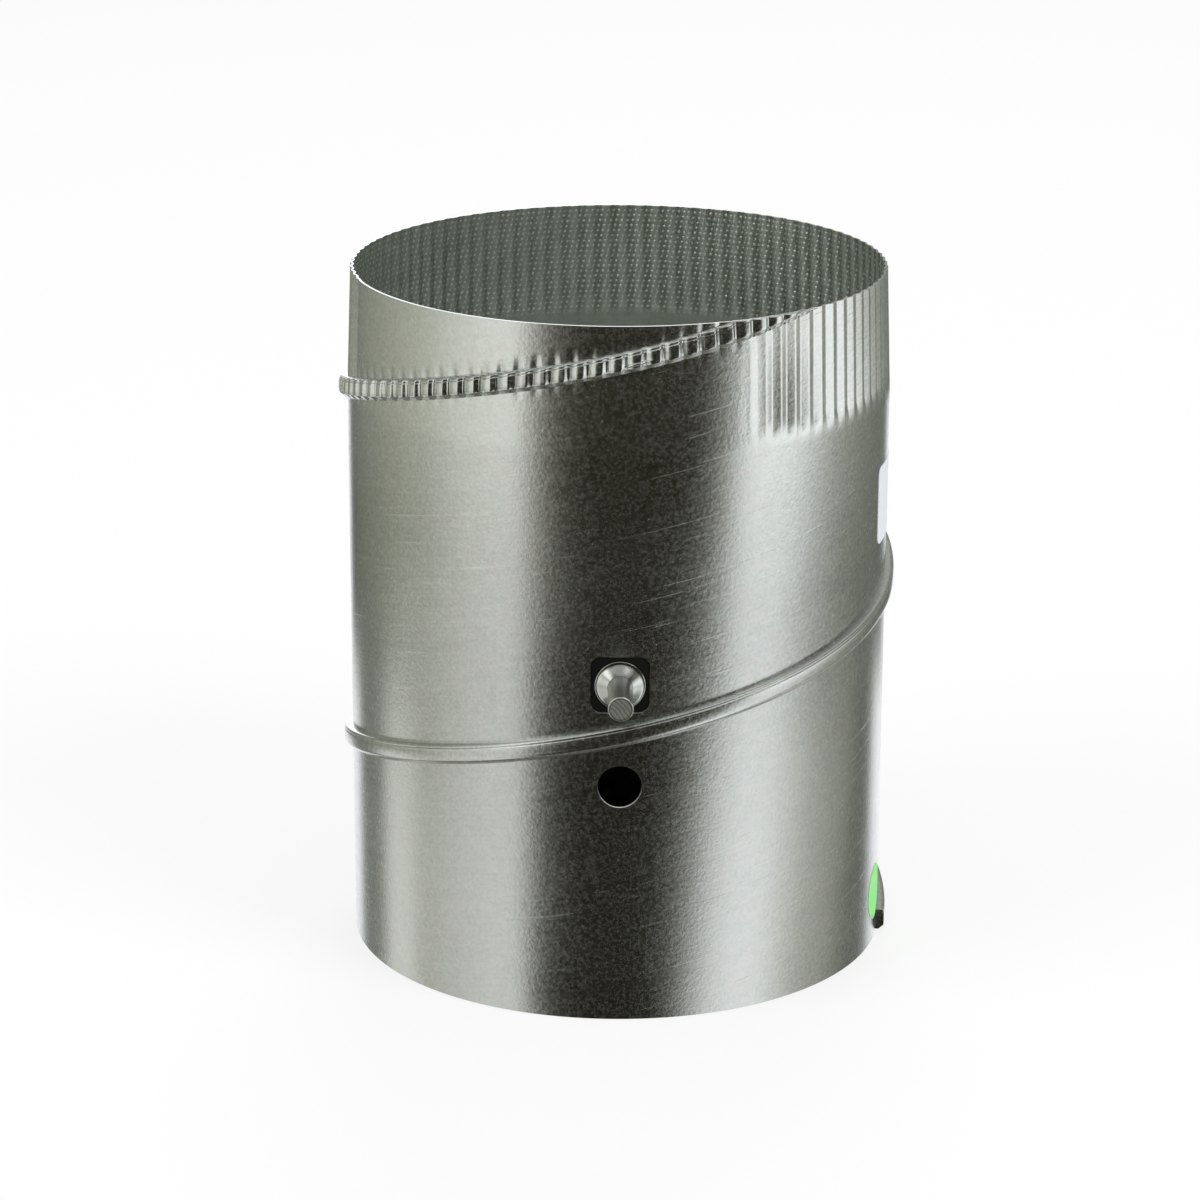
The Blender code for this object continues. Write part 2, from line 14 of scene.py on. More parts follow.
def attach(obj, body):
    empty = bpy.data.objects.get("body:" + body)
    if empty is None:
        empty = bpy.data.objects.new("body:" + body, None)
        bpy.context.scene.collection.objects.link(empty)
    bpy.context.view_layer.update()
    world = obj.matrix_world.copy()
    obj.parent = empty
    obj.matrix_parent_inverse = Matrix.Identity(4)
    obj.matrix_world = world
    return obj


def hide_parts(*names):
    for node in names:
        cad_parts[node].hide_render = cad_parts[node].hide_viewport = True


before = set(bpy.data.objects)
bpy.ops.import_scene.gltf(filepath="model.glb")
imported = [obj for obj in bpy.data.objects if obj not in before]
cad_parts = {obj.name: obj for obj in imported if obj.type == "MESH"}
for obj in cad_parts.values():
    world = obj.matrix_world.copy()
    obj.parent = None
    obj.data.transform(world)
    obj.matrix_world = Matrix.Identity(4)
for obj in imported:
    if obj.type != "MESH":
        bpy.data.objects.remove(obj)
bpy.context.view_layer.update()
scene = bpy.context.scene
scene.view_settings.view_transform = "Standard"

# The camera stands a metre and a quarter off, a little above the duct, and looks down on it with a
# long lens, as the photograph was taken.
CAMERA_PLACE = (-0.0129, -1.2705, 0.5233)
CAMERA_HEADING = math.radians(-0.3167)
CAMERA_TILT = math.radians(90.0 - 17.9008)
CAMERA_ROLL = math.radians(0.1653)
CAMERA_LENS = 119.86
CAMERA_SENSOR = 36.0
CAMERA_REACH = 50.0

camera = bpy.data.objects.new("camera", bpy.data.cameras.new("camera"))
camera.data.lens = CAMERA_LENS
camera.data.sensor_width = CAMERA_SENSOR
camera.data.clip_end = CAMERA_REACH
camera.matrix_world = (
    Matrix.Translation(CAMERA_PLACE)
    @ Matrix.Rotation(CAMERA_HEADING, 4, "Z")
    @ Matrix.Rotation(CAMERA_TILT, 4, "X")
    @ Matrix.Rotation(CAMERA_ROLL, 4, "Z")
)
scene.collection.objects.link(camera)
scene.camera = camera

# A photographer's table: a pale floor, a black pad on the floor inside the duct that is painted
# shade, soft lamps above, and round it all a tall paper wall that the camera doesn't see. The
# wall is bright at both sides and dark in front, and that is what the bare metal mirrors.
FULL_TURN = 2 * math.pi
FLOOR_SIZE = 6.0
FLOOR_DROP = 0.0002
FLOOR_PAPER = (0.9, 0.9, 0.9, 1.0)
FLOOR_GLOW = 0.72
# The pad is painted shade: a black sheet that darkens the closed inside of the duct in reflections.
SHADE_PAD_RADIUS = 0.0870
SHADE_PAD_BLACK = (0.01, 0.01, 0.01, 1.0)
WALL_RADIUS = 0.80
WALL_LOW = -0.90
WALL_HIGH = 0.75
WALL_STEPS = 180

# The wall's bands, as degrees around and a colour, below and above the height of their join.
UPPER_TONES = (
    (-180.0, (1.30, 1.31, 1.38)),
    (-159.0, (1.20, 1.21, 1.26)),
    (-152.0, (0.10, 0.10, 0.09)),
    (-136.0, (0.19, 0.20, 0.17)),
    (-110.0, (0.30, 0.31, 0.25)),
    (-86.0, (0.41, 0.42, 0.36)),
    (-66.0, (0.61, 0.62, 0.57)),
    (-41.0, (0.79, 0.80, 0.76)),
    (-34.0, (0.30, 0.30, 0.26)),
    (-26.0, (0.060, 0.058, 0.044)),
    (-14.0, (0.022, 0.021, 0.013)),
    (27.0, (0.022, 0.021, 0.013)),
    (37.0, (0.20, 0.20, 0.17)),
    (48.0, (1.00, 1.03, 1.03)),
    (64.0, (0.94, 0.97, 0.98)),
    (76.0, (0.60, 0.62, 0.61)),
    (90.0, (0.34, 0.35, 0.32)),
    (104.0, (0.24, 0.25, 0.21)),
    (122.0, (0.19, 0.20, 0.17)),
    (150.0, (0.13, 0.14, 0.12)),
    (157.0, (1.10, 1.11, 1.15)),
    (180.0, (1.30, 1.31, 1.38)),
)
LOWER_TONES = (
    (-180.0, (1.30, 1.31, 1.38)),
    (-147.0, (1.20, 1.21, 1.26)),
    (-139.0, (0.20, 0.21, 0.19)),
    (-128.0, (0.24, 0.25, 0.22)),
    (-119.0, (0.27, 0.28, 0.24)),
    (-111.0, (0.98, 0.99, 0.94)),
    (-98.0, (0.94, 0.95, 0.90)),
    (-89.0, (0.58, 0.59, 0.52)),
    (-66.0, (0.78, 0.79, 0.75)),
    (-42.0, (0.98, 0.99, 0.96)),
    (-38.0, (0.60, 0.61, 0.57)),
    (-33.0, (0.11, 0.11, 0.09)),
    (-26.0, (0.045, 0.044, 0.033)),
    (-16.0, (0.018, 0.017, 0.010)),
    (24.0, (0.022, 0.021, 0.014)),
    (34.0, (0.30, 0.30, 0.27)),
    (44.0, (1.02, 1.05, 1.05)),
    (56.0, (1.20, 1.23, 1.25)),
    (70.0, (1.20, 1.23, 1.24)),
    (80.0, (0.98, 1.00, 0.98)),
    (96.0, (0.56, 0.57, 0.51)),
    (116.0, (0.40, 0.41, 0.35)),
    (126.0, (0.18, 0.19, 0.16)),
    (135.0, (0.16, 0.17, 0.15)),
    (142.0, (1.20, 1.21, 1.25)),
    (180.0, (1.30, 1.31, 1.38)),
)
TONES_JOIN = (-0.20, -0.13)

# Soft ramps are written as (low, high, value at low, value at high), the values being 0 and 1
# where they aren't given. The bands lean on the right, more at the bright one.
EDGE_LEAN = 0.7
LIGHT_LEAN = 1.5
LEAN_MIDDLE = -0.12
EDGE_LEANS = (0.0, 0.55)
LIGHT_LEANS = (0.9, 1.3)
LEANS_END = (2.5, 1.8)
WALL_POWER = (-0.12, 0.01, 0.96, 1.32)
WALL_POWER_MORE = (0.0, 0.05, 0.0, 0.16)

# A grey flag hangs over the wall high on the right and behind, and hides it from the rim and the
# seam. The sides are dimmed above, apart from a bright panel to each side of the front.
FLAG_GREY = (0.20, 0.20, 0.18, 1.0)
RIGHT_FLAG_FOOT = (0.22, 0.30)
RIGHT_FLAG_SIDE = (1.3, 1.7)
BACK_FLAG_FOOT = (-0.04, 0.0)
BACK_FLAG_SIDE = (2.60, 2.72)
FLAGS_END = (3.03, 3.07, 1.0, 0.0)
DIM_FOOT = (0.20, 0.30)
DIM_SIDES = (1.9, 2.1, 0.5, 0.0)
PANEL_INNER = (0.66, 0.72)
PANEL_OUTER = (1.12, 1.18, 1.0, 0.0)
PANEL_FOOT = (0.33, 0.36)
PANEL_TOP = (0.58, 0.62, 1.3, 0.0)
CARDS = (
    ("grey_card", WALL_LOW, (0.20, 0.20, 0.17, 1.0)),
    ("pale_card", WALL_HIGH, (0.46, 0.47, 0.45, 1.0)),
)
LAMPS = (
    ("key_lamp", (1.5, -1.3, 2.1), 1.1, 26.0),
    ("fill_lamp", (-1.8, -1.0, 1.9), 1.3, 20.0),
    ("back_lamp", (0.2, 1.9, 2.2), 1.2, 16.0),
)
LAMP_AIM = Vector((0.0, 0.0, 0.11))
WORLD_LIGHT = 0.62
WHITE = (1.0, 1.0, 1.0, 1.0)


class Maths:
    """A socket of a node tree that adds, multiplies and so on as a number does."""

    def __init__(self, tree, socket=None):
        self.tree = tree
        self.socket = socket

    def node(self, kind, settings=None, sockets=None, output=0):
        """A new node: its settings come first, then the values or links of its sockets."""
        made = self.tree.nodes.new(kind)
        for name, value in (settings or {}).items():
            if name == "stops":
                ramp = made.color_ramp
                while len(ramp.elements) < len(value):
                    ramp.elements.new(1.0)
                for element, (place, color) in zip(ramp.elements, value):
                    element.position = place
                    element.color = (*color, 1.0)
            elif name == "points":
                curve = made.mapping.curves[0]
                while len(curve.points) < len(value):
                    curve.points.new(1.0, 1.0)
                for point, place in zip(curve.points, value):
                    point.location = place
                    point.handle_type = "VECTOR"
                made.mapping.update()
            else:
                setattr(made, name, value)
        for name, value in (sockets or {}).items():
            for each in value if isinstance(value, list) else [value]:
                if isinstance(each, Maths):
                    self.tree.links.new(each.socket, made.inputs[name])
                else:
                    made.inputs[name].default_value = each
        return Maths(self.tree, made.outputs[output]) if made.outputs else None

    def math(self, operation, *values, clamp=False):
        sockets = dict(enumerate((self, *values)))
        return self.node("ShaderNodeMath", {"operation": operation, "use_clamp": clamp}, sockets)

    def part(self, axis):
        """One axis of a vector."""
        return self.node("ShaderNodeSeparateXYZ", None, {0: self}, axis)

    def smooth(self, low, high, start=0.0, end=1.0):
        """A soft ramp that is start at low and end at high."""
        sockets = {"Value": self, "From Min": low, "From Max": high, "To Min": start, "To Max": end}
        return self.node("ShaderNodeMapRange", {"interpolation_type": "SMOOTHSTEP"}, sockets)

    def mix(self, first, second):
        """The first colour where this is 0, and the second where it is 1."""
        sockets = {0: self, 6: first, 7: second}
        return self.node("ShaderNodeMix", {"data_type": "RGBA"}, sockets, 2)

    def noise(self, scale, detail, roughness=0.5):
        """Noise over a place, from 0 to 1."""
        return self.node("ShaderNodeTexNoise", None, {
            "Vector": self, "Scale": scale, "Detail": detail, "Roughness": roughness})

    def bump(self, strength, distance, **under):
        """The normal that this height gives a surface."""
        return self.node("ShaderNodeBump", None, {
            "Strength": strength, "Distance": distance, "Height": self, **under})

    def __add__(self, other):
        return self.math("ADD", other)

    def __sub__(self, other):
        return self.math("SUBTRACT", other)

    def __rsub__(self, other):
        return self.node("ShaderNodeMath", {"operation": "SUBTRACT"}, {0: other, 1: self})

    def __mul__(self, other):
        return self.math("MULTIPLY", other)

    def __truediv__(self, other):
        return self.math("DIVIDE", other)

    __radd__ = __add__
    __rmul__ = __mul__


def new_material(name):
    """An empty material, and the Maths that adds nodes to it."""
    material = bpy.data.materials.new(name)
    material.use_nodes = True
    material.node_tree.nodes.clear()
    return material, Maths(material.node_tree)


def surface(shade, kind, sockets):
    """End a material in a shader of this kind."""
    shader = shade.node(kind, None, sockets)
    shade.node("ShaderNodeOutputMaterial", None, {"Surface": shader})


def object_place(shade):
    return shade.node("ShaderNodeTexCoord", None, None, "Object")


def turn_at(place):
    """The angle around the duct of a place, from the front towards +X."""
    return place.part(0).math("ARCTAN2", 0.0 - place.part(1))


def mesh_piece(name, mesh, material=None):
    """A mesh as a shown object at the origin."""
    piece = bpy.data.objects.new(name, mesh)
    scene.collection.objects.link(piece)
    if material:
        mesh.materials.append(material)
    return piece


def mesh_from(bm, name, smooth_angle=math.radians(40.0)):
    """A finished mesh from a bmesh, smooth but for its real edges."""
    mesh = bpy.data.meshes.new(name)
    bm.to_mesh(mesh)
    bm.free()
    mesh.shade_smooth()
    mesh.set_sharp_from_angle(angle=smooth_angle)
    return mesh


def disc(name, radius, height, material):
    bm = bmesh.new()
    bmesh.ops.create_circle(bm, cap_ends=True, segments=WALL_STEPS, radius=radius,
                            matrix=Matrix.Translation((0.0, 0.0, height)))
    return mesh_piece(name, mesh_from(bm, name), material)


def mirrored_only(piece, shadow=False):
    """Keep a piece of the studio out of sight, apart from what the metal mirrors of it."""
    piece.visible_camera = False
    piece.visible_diffuse = False
    piece.visible_shadow = shadow


floor_bm = bmesh.new()
bmesh.ops.create_grid(floor_bm, x_segments=1, y_segments=1, size=FLOOR_SIZE / 2,
                      matrix=Matrix.Translation((0.0, 0.0, -FLOOR_DROP)))
floor_material, shade = new_material("table_paper")
matte = shade.node("ShaderNodeBsdfDiffuse", None, {"Color": FLOOR_PAPER})
glow = shade.node("ShaderNodeEmission", None, {"Color": WHITE, "Strength": 1.0})
seen = shade.node("ShaderNodeLightPath", None, None, "Is Camera Ray")
surface(shade, "ShaderNodeMixShader", {0: seen * FLOOR_GLOW, 1: matte, 2: glow})
floor = mesh_piece("table", mesh_from(floor_bm, "table"), floor_material)
floor.visible_glossy = False

wall_bm = bmesh.new()
bmesh.ops.create_cone(wall_bm, cap_ends=False, segments=WALL_STEPS, radius1=WALL_RADIUS,
                      radius2=WALL_RADIUS, depth=WALL_HIGH - WALL_LOW,
                      matrix=Matrix.Translation((0.0, 0.0, (WALL_HIGH + WALL_LOW) / 2)))
wall_material, shade = new_material("paper_wall")
place = object_place(shade)
turn = turn_at(place)
height = place.part(2)
leaning = turn.smooth(*EDGE_LEANS) * EDGE_LEAN + turn.smooth(*LIGHT_LEANS) * (LIGHT_LEAN - EDGE_LEAN)
leaning = leaning * turn.smooth(*LEANS_END)
around = (turn - (height - LEAN_MIDDLE) * leaning) / FULL_TURN + 0.5
toned = []
for tones in (LOWER_TONES, UPPER_TONES):
    stops = [((degrees + 180.0) / 360.0, color) for degrees, color in tones]
    toned.append(shade.node("ShaderNodeValToRGB", {"stops": stops}, {"Fac": around}, "Color"))
flagged = height.smooth(*RIGHT_FLAG_FOOT) * turn.smooth(*RIGHT_FLAG_SIDE)
flagged = flagged.math("MAXIMUM", height.smooth(*BACK_FLAG_FOOT) * turn.smooth(*BACK_FLAG_SIDE))
tone = height.smooth(*TONES_JOIN).mix(*toned)
tone = (flagged * turn.smooth(*FLAGS_END)).mix(tone, FLAG_GREY)
side = turn.math("ABSOLUTE")
power = height.smooth(*WALL_POWER) + height.smooth(*WALL_POWER_MORE)
power = power * (1.0 - height.smooth(*DIM_FOOT) * side.smooth(*DIM_SIDES))
panel = side.smooth(*PANEL_INNER) * side.smooth(*PANEL_OUTER)
power = power + panel * height.smooth(*PANEL_FOOT) * height.smooth(*PANEL_TOP)
lit = shade.node("ShaderNodeVectorMath", {"operation": "SCALE"}, {"Vector": tone, "Scale": power})
surface(shade, "ShaderNodeEmission", {"Color": lit, "Strength": 1.0})
wall = mesh_piece("paper_wall", mesh_from(wall_bm, "paper_wall"), wall_material)
mirrored_only(wall)
cards = []
for name, card_z, grey in CARDS:
    card_material, shade = new_material(name)
    surface(shade, "ShaderNodeEmission", {"Color": grey, "Strength": 1.0})
    cards.append(disc(name, WALL_RADIUS, card_z, card_material))
    mirrored_only(cards[-1])
# Painted shade: the black pad shows only in the metal's reflections and casts a shadow, where the
# closed inside of the duct has only shade.
shade_pad_material, shade = new_material("painted_shade_black")
surface(shade, "ShaderNodeBsdfDiffuse", {"Color": SHADE_PAD_BLACK})
shade_pad = disc("painted_shade_pad", SHADE_PAD_RADIUS, -FLOOR_DROP / 2, shade_pad_material)
mirrored_only(shade_pad, shadow=True)

for name, stand, width, power in LAMPS:
    lamp = bpy.data.objects.new(name, bpy.data.lights.new(name, "AREA"))
    lamp.data.shape = "SQUARE"
    lamp.data.size = width
    lamp.data.energy = power
    lamp.location = stand
    lamp.rotation_euler = (LAMP_AIM - Vector(stand)).to_track_quat("-Z", "Y").to_euler()
    scene.collection.objects.link(lamp)

world = bpy.data.worlds.new("studio")
scene.world = world
world.use_nodes = True
world.node_tree.nodes.clear()
sky = Maths(world.node_tree)
camera_ray = sky.node("ShaderNodeLightPath", None, None, "Is Camera Ray")
glossy_ray = sky.node("ShaderNodeLightPath", None, None, "Is Glossy Ray")
clear_ray = sky.node("ShaderNodeLightPath", None, None, "Is Transmission Ray")
white_ray = camera_ray.math("ADD", glossy_ray, clamp=True).math("ADD", clear_ray, clamp=True)
lit = sky.node("ShaderNodeBackground", None, {"Color": WHITE, "Strength": WORLD_LIGHT})
shown = sky.node("ShaderNodeBackground", None, {"Color": WHITE, "Strength": 1.0})
ambient = sky.node("ShaderNodeMixShader", None, {0: white_ray, 1: lit, 2: shown})
sky.node("ShaderNodeOutputWorld", None, {"Surface": ambient})

# The duct is one strip of galvanised sheet, wound into a tube and locked by a folded seam. Rolls
# have pressed its upper end into a slow taper with close flutes, so that it slides into the next
# duct. Its rims are sheared, and its holes punched.
DUCT_RADIUS = 0.0889
DUCT_LENGTH = 0.2286
SHEET = 0.0007
BODY_MARGIN = 0.004
CRIMP_START = 0.1885
CRIMP_COUNT = 96
CRIMP_PHASE = math.radians(1.45)
CRIMP_TAPER = 0.0015
CRIMP_DEPTH = 0.00075
CREST = 0.5625
FLUTE_FOOT = (0.0, 0.0070)
FLUTE_DEEPER = (0.008, 0.040, 1.30, 0.92)
SEAM_PITCH = 0.1205
SEAM_CLIMB = SEAM_PITCH / FULL_TURN
SEAM_FRONT_Z = 0.0968
SEAM_HALF = 0.0035
SHAFT_Z = 0.1135
PUNCHED_SIDE = 0.0185
PUNCHED_CORNER = 0.0033
PUNCH_REACH = 0.008
SERVICE_HOLE = 0.0140
SERVICE_HOLE_Z = 0.0796
SERVICE_HOLE_STEPS = 48
DUCT_COLUMNS = 16 * CRIMP_COUNT
SKIN_ROWS = (6, 28)
BORE_ROWS = (4, 12)
MERGE_DISTANCE = 0.00001
WALL_SMOOTH = math.radians(75.0)

# The rolls ran flat over a stretch in front of the duct, which is counted from its own middle.
FLAT_MIDDLE = math.radians(-22.0)
FLAT_HALF = math.radians(49.0)
FLAT_RIGHT = (FLAT_HALF - 0.05, FLAT_HALF + 0.16)
FLAT_LEFT = (-FLAT_HALF - 0.06, -FLAT_HALF, 1.0, 0.0)

# The crimping rolls leave dents above and below the seam, and faint flutes on the left of the flat
# stretch.
DENT_DEPTH = 0.00036
DENT_ABOVE = (SEAM_HALF, SEAM_HALF + 0.0042, 1.0, 0.0)
DENT_BELOW = (-SEAM_HALF - 0.0030, -SEAM_HALF, 0.0, 0.4)
DENT_UPWARDS = (0.0, 0.001)
DENT_DOWNWARDS = (-0.001, 0.0, 1.0, 0.0)
DENT_FOOT = (-0.006, 0.0)
DENT_WIDTH = (0.3, 1.0)
FAINT_DEPTH = 0.00042
FAINT_SIDE = (math.radians(-44.0), math.radians(-70.0))
FAINT_FOOT = (0.008, 0.032)


def new_tree(name, **sizes):
    """An empty Geometry Nodes tree with named sizes, and each size as a Maths."""
    tree = bpy.data.node_groups.new(name, "GeometryNodeTree")
    tree.interface.new_socket("Geometry", in_out="OUTPUT", socket_type="NodeSocketGeometry")
    for size in sizes:
        tree.interface.new_socket(size, in_out="INPUT", socket_type="NodeSocketFloat")
    inputs = tree.nodes.new("NodeGroupInput")
    return Maths(tree), {size: Maths(tree, inputs.outputs[size]) for size in sizes}


def grown(name, maths, geometry, **sizes):
    """Finish a tree with this geometry, run it at these sizes, and keep a plain mesh object."""
    real = maths.node("GeometryNodeRealizeInstances", None, {"Geometry": geometry})
    maths.node("NodeGroupOutput", None, {"Geometry": real})
    piece = bpy.data.objects.new(name, bpy.data.meshes.new(name))
    scene.collection.objects.link(piece)
    modifier = piece.modifiers.new("grow", "NODES")
    modifier.node_group = maths.tree
    for item in maths.tree.interface.items_tree:
        if item.in_out == "INPUT":
            modifier[item.identifier] = sizes[item.name]
    depsgraph = bpy.context.evaluated_depsgraph_get()
    mesh = bpy.data.meshes.new_from_object(piece.evaluated_get(depsgraph))
    piece.modifiers.clear()
    piece.data = mesh
    mesh.name = name
    return piece


def joined(grow, pieces):
    return grow.node("GeometryNodeJoinGeometry", None, {"Geometry": pieces})


def merged(grow, geometry):
    return grow.node("GeometryNodeMergeByDistance", None, {
        "Geometry": geometry, "Distance": MERGE_DISTANCE})


def dressed(grow, geometry, material):
    return grow.node("GeometryNodeSetMaterial", None, {"Geometry": geometry, "Material": material})


def sweep(grow, columns, rows, place):
    """A grid bent into shape: place turns its two shares, from 0 to 1, into a point."""
    sockets = {"Size X": 1.0, "Size Y": 1.0, "Vertices X": columns + 1, "Vertices Y": rows + 1}
    grid = grow.node("GeometryNodeMeshGrid", None, sockets, "Mesh")
    here = grow.node("GeometryNodeInputPosition")
    point = place(here.part(0) + 0.5, here.part(1) + 0.5)
    return grow.node("GeometryNodeSetPosition", None, {"Geometry": grid, "Position": point})


def round_duct(turn, radius, z):
    return turn.node("ShaderNodeCombineXYZ", None, {
        "X": radius * turn.math("SINE"), "Y": 0.0 - radius * turn.math("COSINE"), "Z": z})


def flutes_past(turn):
    """How many flutes a place lies past the first one."""
    return (turn - CRIMP_PHASE) * (CRIMP_COUNT / FULL_TURN)


def pitch_share(turn):
    """0 on the middle of a land, and 1 on the middle of the flutes beside it."""
    return (flutes_past(turn).math("FRACT") - 0.5).math("ABSOLUTE") * 2.0


def crest_share(turn):
    """0 in the valley of a flute and 1 on its crest, with a long side and a short one."""
    along = (flutes_past(turn) + (1.0 + CREST) / 2).math("FRACT")
    return (along / CREST).math("MINIMUM", (1.0 - along) / (1.0 - CREST))


def fluted_share(turn):
    """0 on the stretch in front where the rolls ran flat, and 1 beyond it."""
    past = (turn - (FLAT_MIDDLE - math.pi)).math("FLOORED_MODULO", FULL_TURN) - math.pi
    return past.smooth(*FLAT_RIGHT).math("MAXIMUM", past.smooth(*FLAT_LEFT))


def above_seam(turn, z):
    """How far a place lies above the middle of the nearest seam turn, up or down."""
    climb = z - SEAM_FRONT_Z - turn * SEAM_CLIMB
    return (climb / SEAM_PITCH + 0.5).math("FRACT") * SEAM_PITCH - SEAM_PITCH / 2


def taper_at(rise):
    """How far the crimped end is drawn in, at a rise above its start."""
    return rise.math("MAXIMUM", 0.0) * (CRIMP_TAPER / (DUCT_LENGTH - CRIMP_START))


def wall_inset(turn, z):
    """How far the rolls set the wall in: the taper, the flutes, and the dents along the seam."""
    flutes = fluted_share(turn)
    valley = 1.0 - crest_share(turn)
    rise = z - CRIMP_START
    height = above_seam(turn, z)
    deep = valley * flutes * rise.smooth(*FLUTE_FOOT) * rise.smooth(*FLUTE_DEEPER)
    dents = height.smooth(*DENT_ABOVE) * height.smooth(*DENT_UPWARDS)
    dents = dents + height.smooth(*DENT_BELOW) * height.smooth(*DENT_DOWNWARDS)
    dents = dents * (1.0 - flutes) * rise.smooth(*DENT_FOOT) * pitch_share(turn).smooth(*DENT_WIDTH)
    faint = turn.smooth(*FAINT_SIDE) * (1.0 - flutes) * rise.smooth(*FAINT_FOOT) * valley
    return taper_at(rise) + deep * CRIMP_DEPTH + dents * DENT_DEPTH + faint * FAINT_DEPTH


def wall_skin(grow, radius, low, high, rows, inwards):
    """One face of the wall between two heights."""
    def place(along, up):
        turn = along * FULL_TURN
        z = low + up * (high - low)
        return round_duct(turn, radius - wall_inset(turn, z), z)

    skin = sweep(grow, DUCT_COLUMNS, rows, place)
    return grow.node("GeometryNodeFlipFaces", None, {"Mesh": skin}) if inwards else skin


def wall_rim(grow, inner, outer, z):
    """The sheared edge of the sheet, from one radius to another."""
    def place(along, across):
        turn = along * FULL_TURN
        return round_duct(turn, inner + across * (outer - inner) - wall_inset(turn, z), z)

    return sweep(grow, DUCT_COLUMNS, 1, place)


# The strip's zinc: fine grain and duller specks, cloudy patches, lines from the rollers that climb
# with the strip and end at the back, a few scratches, and bands rubbed smooth.
ZINC_TONE = 0.60
ZINC_ROUGHNESS = 0.23
ZINC_STRENGTH = 0.27
ZINC_DISTANCE = 0.00012
SPANGLE_SCALE = 420.0
GRAIN_SCALE = 900.0
CLOUD_SCALE = 28.0
TINT_SCALE = 700.0
DRAWN_ALONG = 14.0
DRAWN_ACROSS = 900.0
DRAWN_END = (2.6, 3.1, 1.0, 0.0)
RUBBED_SCALE = 2.6
RUBBED_EDGE = (0.58, 0.66)
SCRATCH_EDGE = (0.66, 0.70)
SPECK_EDGE = (-0.12, 0.16)
SPECK_DULLNESS = 0.030


def spangled(shade, place):
    """The look of hot-dip zinc: its colour, roughness, fine uneven height and metallic share."""
    spangle = shade.node("ShaderNodeTexVoronoi", {"feature": "F1"}, {
        "Vector": place, "Scale": SPANGLE_SCALE, "Randomness": 1.0}, "Color").part(0)
    fine = place.noise(GRAIN_SCALE, 3.0, 0.6)
    cloud = place.noise(CLOUD_SCALE, 4.0, 0.62) - 0.5
    tint = place.noise(TINT_SCALE, 2.0) - 0.5
    grainy = place.noise(GRAIN_SCALE, 1.0, 0.6) - 0.5
    turn = turn_at(place)
    level = place.part(2) - turn * SEAM_CLIMB
    strip = shade.node("ShaderNodeCombineXYZ", None, {
        "X": place.part(0) * DRAWN_ALONG, "Y": place.part(1) * DRAWN_ALONG,
        "Z": level * DRAWN_ACROSS})
    drawn = (strip.noise(1.0, 3.0, 0.7) - 0.5) * turn.math("ABSOLUTE").smooth(*DRAWN_END)
    scratch = (drawn + 0.5).smooth(*SCRATCH_EDGE)
    around = level / SEAM_CLIMB
    beside = shade.node("ShaderNodeCombineXYZ", None, {
        "X": around.math("COSINE"), "Y": around.math("SINE"), "Z": 0.0})
    rubbed = beside.noise(RUBBED_SCALE, 3.0, 0.55).smooth(*RUBBED_EDGE)
    tone = ZINC_TONE + spangle * 0.03 + cloud * 0.10 + drawn * 0.10 + grainy * 0.16
    color = shade.node("ShaderNodeCombineColor", None, {
        "Red": tone + tint * 0.12, "Green": tone * 1.012, "Blue": tone * 0.985})
    rough = ZINC_ROUGHNESS + cloud * 0.14 + drawn * 0.08 + grainy * 0.13
    height = (fine * 0.4 + grainy) * (1.0 - rubbed * 0.8) + drawn * 0.24 + scratch * 0.6
    metal = 1.0 - grainy.smooth(*SPECK_EDGE) * (1.0 - rubbed * 0.7) * SPECK_DULLNESS
    return color, rough, height, metal


# A shallow crease from handling climbs to the rim, a little right of the front.
CREASE_Z = 0.2153
CREASE_CLIMB = 0.0032
CREASE_TURN = math.radians(6.5)
CREASE_DEPTH = 0.00022
CREASE_WIDTH = (0.0001, 0.0006, 1.0, 0.0)
CREASE_START = (0.0, 0.25)
CREASE_END = (1.1, 0.7)

galvanised, shade = new_material("galvanised_sheet")
place = object_place(shade)
color, rough, height, metal = spangled(shade, place)
share = turn_at(place) / CREASE_TURN
off = (place.part(2) - CREASE_Z - share.math("SQRT") * CREASE_CLIMB).math("ABSOLUTE")
crease = off.smooth(*CREASE_WIDTH) * share.smooth(*CREASE_START) * share.smooth(*CREASE_END)
creased = crease.bump(1.0, CREASE_DEPTH)
surface(shade, "ShaderNodeBsdfPrincipled", {
    "Base Color": color, "Roughness": rough, "Metallic": metal,
    "Normal": height.bump(ZINC_STRENGTH, ZINC_DISTANCE, Normal=creased)})

# Inside the crimped end the knurled rolls have printed dots. Its colour has painted light and shade
# in bands between the flutes, strongest on the right, where they face the light; the dots are
# painted lighter, most on the shaded bands.
STIPPLE_COUNT = 3 * CRIMP_COUNT
STIPPLE_RISE = 0.0018
STIPPLE_EDGE = (0.30, 0.95)
STIPPLE_FOOT = (0.001, 0.004)
SHADED_BAND_EDGE = (0.25, 0.75)
SHADED_BAND_FOOT = (0.001, 0.005)
LIGHT_FACING_MIDDLE = math.radians(125.0)
LIGHT_FACING_SIDES = (-0.1, 0.8, 0.22, 1.0)
INSIDE_TONE = 0.62
INSIDE_TINT = (1.60, 1.66, 1.58)
INSIDE_ROUGHER = 0.14

embossed, shade = new_material("embossed_inside")
place = object_place(shade)
color, rough, height, _ = spangled(shade, place)
turn = turn_at(place)
rise = place.part(2) - CRIMP_START
rows = place.part(2) * (FULL_TURN / STIPPLE_RISE)
dots = ((turn * STIPPLE_COUNT + rows * 0.25).math("COSINE") + rows.math("COSINE")) * 0.5
dots = dots.smooth(*STIPPLE_EDGE) * rise.smooth(*STIPPLE_FOOT)
